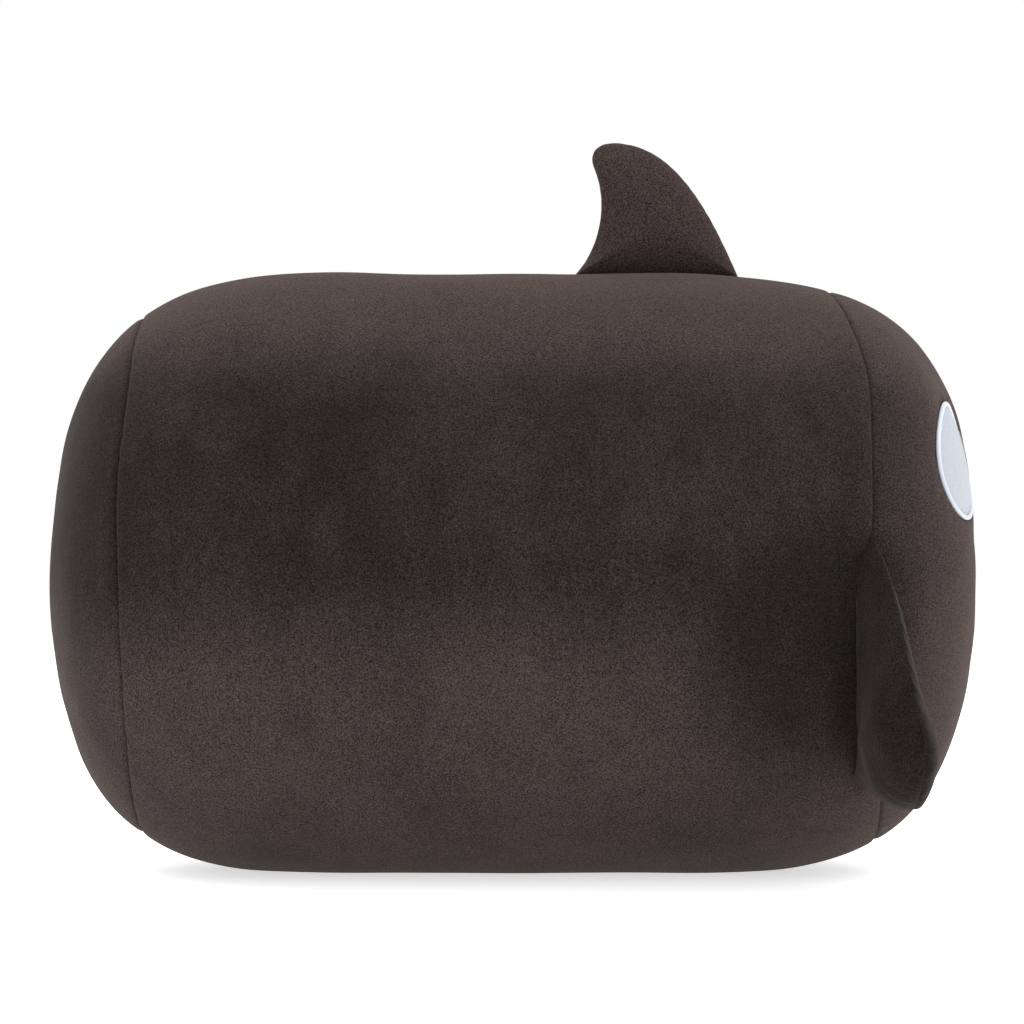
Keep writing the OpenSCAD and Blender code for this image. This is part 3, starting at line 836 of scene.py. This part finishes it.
def flipper_edge():
    """Upper edge, tip and lower edge, as three cubics of (out, up) from the seam's centre, and the root
    from bottom to top."""
    root = seam_ring(np.linspace(FLIPPER_LOW_A, FLIPPER_TOP_A, 80))[:, :2]
    tip = skin_radius(FRONT_SEAM_X) + FLIPPER_REACH
    low = -120 * MM
    first, last = root[-1], root[0]
    upper = [first, first + (16 * MM, -5 * MM), (tip - 3 * MM, -38 * MM), (tip, -80 * MM)]
    end = [(tip, -80 * MM), (tip + 1 * MM, -105 * MM), (tip - 20 * MM, low), (tip - 47 * MM, low)]
    lower = [(tip - 47 * MM, low), (tip - 66 * MM, low), last + (14 * MM, -1 * MM), last]
    return [cubic(c) for c in (upper, end, lower)], root


def flipper_root_stitches(name, side):
    """Hand stitches in the front seam's groove, along a flipper's root."""
    a = np.linspace(FLIPPER_TOP_A, FLIPPER_LOW_A, 120)
    a = math.pi - a if side > 0 else a
    path, across = body_path(front_seam_s(a), a, 1.2 * MM)
    return stitches(name, path, across, FLIPPER_ROOT_STITCH, dark_thread)


for side_name, side in SIDES.items():
    limb = f"{side_name}_flipper"
    flipper = Limb(*flipper_edge(), FLIPPER_CENTRE, flipper_surface(side), seam_frame(side)[3],
                   slim=1.3, seed=41)
    for way, word, bulge in ((1, "front", FLIPPER_FRONT_T), (-1, "rear", FLIPPER_REAR_T)):
        declare(limb_panel(flipper, f"{limb}_{word}_plush", way, bulge, flipper_shaded_minky),
                [f"{limb}_{word}_panel"], limb)
    declare(limb_fill(flipper, f"{limb}_fibre_fill", (FLIPPER_REAR_T, FLIPPER_FRONT_T)),
            [f"{limb}_stuffing"], limb)
    declare(rim_stitches(flipper, f"{limb}_rim_stitches"), [f"{limb}_rim_thread"], limb)
    root = flipper_root_stitches(f"{limb}_root_stitches", side)
    declare(root, [f"{limb}_root_thread"])


# ---------------------------------------------------------------- eyes

def on_face(a, b, lift, side):
    """Point of the face under an eye's ellipse coordinates a and b, lifted along the normal."""
    inward = a * math.cos(EYE_TILT) - b * math.sin(EYE_TILT)
    up = a * math.sin(EYE_TILT) + b * math.cos(EYE_TILT)
    y = -side * (EYE_Y + inward)
    z = EYE_Z + up - AXIS_Z
    r = np.hypot(y, z)
    x = HALF_L * np.clip(1 - (r / SKIN_R) ** SHOULDER_POWER, 0, 1) ** (1 / END_POWER)
    s = np.interp(x, SECTION_X, SECTION_S)
    nx, nr = np.interp(s, SECTION_S, SECTION_NX), np.interp(s, SECTION_S, SECTION_NR)
    k = (r + lift * nr) / r
    return np.stack([x + lift * nx, y * k, AXIS_Z + z * k], -1)


def crown(a, b):
    """Height of the white patch: a low pillow that meets the groove inside its border."""
    inside = np.clip(1 - (a / EYE_A) ** 2 - (b / EYE_B) ** 2, 0, 1)
    return (-2.7 + 3.3 * inside**0.35) * MM


ROUND_TURN = np.arange(192) * TAU / 192


def raised_spot(name, centre, halves, top, depth, material, side):
    """A closed plump disc on the face: its top from a height function, its underside at a depth."""
    e, t = np.meshgrid(np.sin(np.linspace(0, math.pi / 2, 30)[1:]), ROUND_TURN, indexing="ij")
    a, b = centre[0] + halves[0] * e * np.cos(t), centre[1] + halves[1] * e * np.sin(t)
    upper = on_face(a, b, top(a, b), side)
    under = on_face(a[::-6], b[::-6], depth + 0 * a[::-6], side)
    first = on_face(*map(np.array, centre), top(*map(np.array, centre)), side)
    last = on_face(*map(np.array, centre), np.array(depth), side)
    return pole_piece(name, np.concatenate([upper, under]), first, last, material)


def satin_border(name, side):
    """The satin border: an oval bead, ribbed by its stitches, which lie square to the edge."""
    stitch_count = 300
    t = np.arange(stitch_count * 4) * TAU / (stitch_count * 4)
    w, t = np.meshgrid(np.arange(14) * TAU / 14, t, indexing="ij")
    na, nb = np.cos(t) / EYE_A, np.sin(t) / EYE_B
    n = np.hypot(na, nb)
    ridge = np.abs(np.sin(t * stitch_count / 2)) ** 0.7
    lift = (-0.9 + (1.1 + 0.16 * ridge) * np.sin(w)) * MM
    grow = BORDER_HALF * np.cos(w)
    ring = on_face(EYE_A * np.cos(t) + grow * na / n, EYE_B * np.sin(t) + grow * nb / n, lift, side)
    return ring_piece(name, ring, white_satin)


def pupil_top(a, b):
    """Height of a pupil's embroidery over the patch: a flat pad with a round edge and rows of thread."""
    e = np.clip(np.hypot(a - PUPIL_SHIFT, b - PUPIL_DROP) / PUPIL_R, 0, 1)
    rows = 0.1 * MM * np.abs(np.sin(b * math.pi / (0.7 * MM)))
    return crown(a, b) + (0.8 * MM + rows) * (1 - e**6)


for side_name, side in SIDES.items():
    eye = f"{side_name}_eye"
    patch = raised_spot(f"{eye}_white_patch", (0.0, 0.0), (EYE_A, EYE_B), crown, -4 * MM, white_minky, side)
    declare(patch, [f"{eye}_patch"])
    declare(satin_border(f"{eye}_satin_border", side), [f"{eye}_border"])
    pupil = raised_spot(f"{eye}_pupil_embroidery", (PUPIL_SHIFT, PUPIL_DROP), (PUPIL_R, PUPIL_R), pupil_top,
                        -1.8 * MM, black_satin, side)
    declare(pupil, [f"{eye}_pupil"])


# ---------------------------------------------------------------- care label

LABEL_FLAT = (22 * MM, 34 * MM)
LABEL_T = 0.35 * MM
LABEL_PHI = math.pi - math.radians(30)


def care_label():
    """A blank ribbon: it leaves the rear seam square to the plush, then bends back over the rear panel.
    Its heading turns with the distance along it, and its edges curl slightly."""
    length = np.linspace(0, LABEL_FLAT[1], 60)
    turn = math.radians(62) * (1 - np.exp(-((length / (15 * MM)) ** 2)))
    step = length[1] - length[0]
    rise = np.concatenate([[0], np.cumsum(np.cos(turn[1:]) * step)]) - 4 * MM
    back = np.concatenate([[0], np.cumsum(np.sin(turn[1:]) * step)])
    across = np.linspace(-0.5, 0.5, 24) * LABEL_FLAT[0]
    s0 = rear_seam_s(np.array(LABEL_PHI))
    base = body_point(s0, np.array(LABEL_PHI), np.array(0.0))
    normal = body_point(s0, np.array(LABEL_PHI), np.array(10 * MM)) - base
    normal /= np.linalg.norm(normal)
    around = np.array([0, math.sin(LABEL_PHI), math.cos(LABEL_PHI)])
    rearward = np.cross(normal, around)
    rearward *= -np.sign(rearward[0])
    curl = 0.6 * MM * (across / LABEL_FLAT[0] * 2) ** 2
    sheet = (base + rise[:, None, None] * normal + back[:, None, None] * rearward
             + across[None, :, None] * around
             + (curl[None] * (length / LABEL_FLAT[1])[:, None])[..., None] * normal)
    face = np.cross(np.gradient(sheet, axis=0), np.gradient(sheet, axis=1))
    face /= np.linalg.norm(face, axis=-1)[..., None]
    rows = np.concatenate([sheet + face * LABEL_T / 2, (sheet - face * LABEL_T / 2)[:, ::-1]], axis=1)
    return sleeve_piece("care_label_ribbon", rows, blank_ribbon)


label = care_label()
declare(label, ["care_label"])


# ---------------------------------------------------------------- studio

def softbox(name, place, size, power):
    """A square soft white light that faces the shark."""
    lamp = bpy.data.lights.new(name, "AREA")
    lamp.size = size
    lamp.energy = power
    holder = bpy.data.objects.new(name, lamp)
    aim(holder, place, (0, 0, 0.16))
    bpy.context.scene.collection.objects.link(holder)


def aim(holder, place, target):
    """Puts a lamp or camera at a place, facing a target."""
    holder.location = place
    holder.rotation_mode = "QUATERNION"
    holder.rotation_quaternion = (Vector(target) - Vector(place)).to_track_quat("-Z", "Y")


def studio():
    """A lit white floor in a white room, three soft lights, and a camera on the shark's right side, level
    with its axis and looking slightly up."""
    scene = bpy.context.scene
    scene.view_settings.view_transform = "Standard"
    floor_mesh = bpy.data.meshes.new("floor")
    floor_mesh.from_pydata([(-8, -8, 0), (8, -8, 0), (8, 8, 0), (-8, 8, 0)], [], [(0, 1, 2, 3)])
    floor = bpy.data.objects.new("floor", floor_mesh)
    scene.collection.objects.link(floor)
    # Opal acrylic sheet, cast, and lit from below
    material, _, _ = new_material("lit_white_acrylic", Base_Color=srgb("#f0f0f0"), Roughness=0.9,
                                  Emission_Color=srgb("#ffffff"), Emission_Strength=0.62)
    floor_mesh.materials.append(material)

    world = bpy.data.worlds.new("white_room")
    world.use_nodes = True
    world.node_tree.nodes["Background"].inputs["Color"].default_value = (1, 1, 1, 1)
    world.node_tree.nodes["Background"].inputs["Strength"].default_value = 1.0
    scene.world = world

    softbox("overhead_softbox", (0.1, 0.1, 1.9), 1.2, 6)
    for end in (-1, 1):
        softbox(f"shoulder_softbox_{end + 1}", (end * 1.3, 0.1, 1.5), 0.8, 9)

    lens = bpy.data.cameras.new("camera")
    lens.sensor_width = 36
    lens.lens = 125.7
    camera = bpy.data.objects.new("camera", lens)
    aim(camera, (-0.0008, -1.97, AXIS_Z), (-0.0008, 0, AXIS_Z + 0.0345))
    scene.collection.objects.link(camera)
    scene.camera = camera


studio()
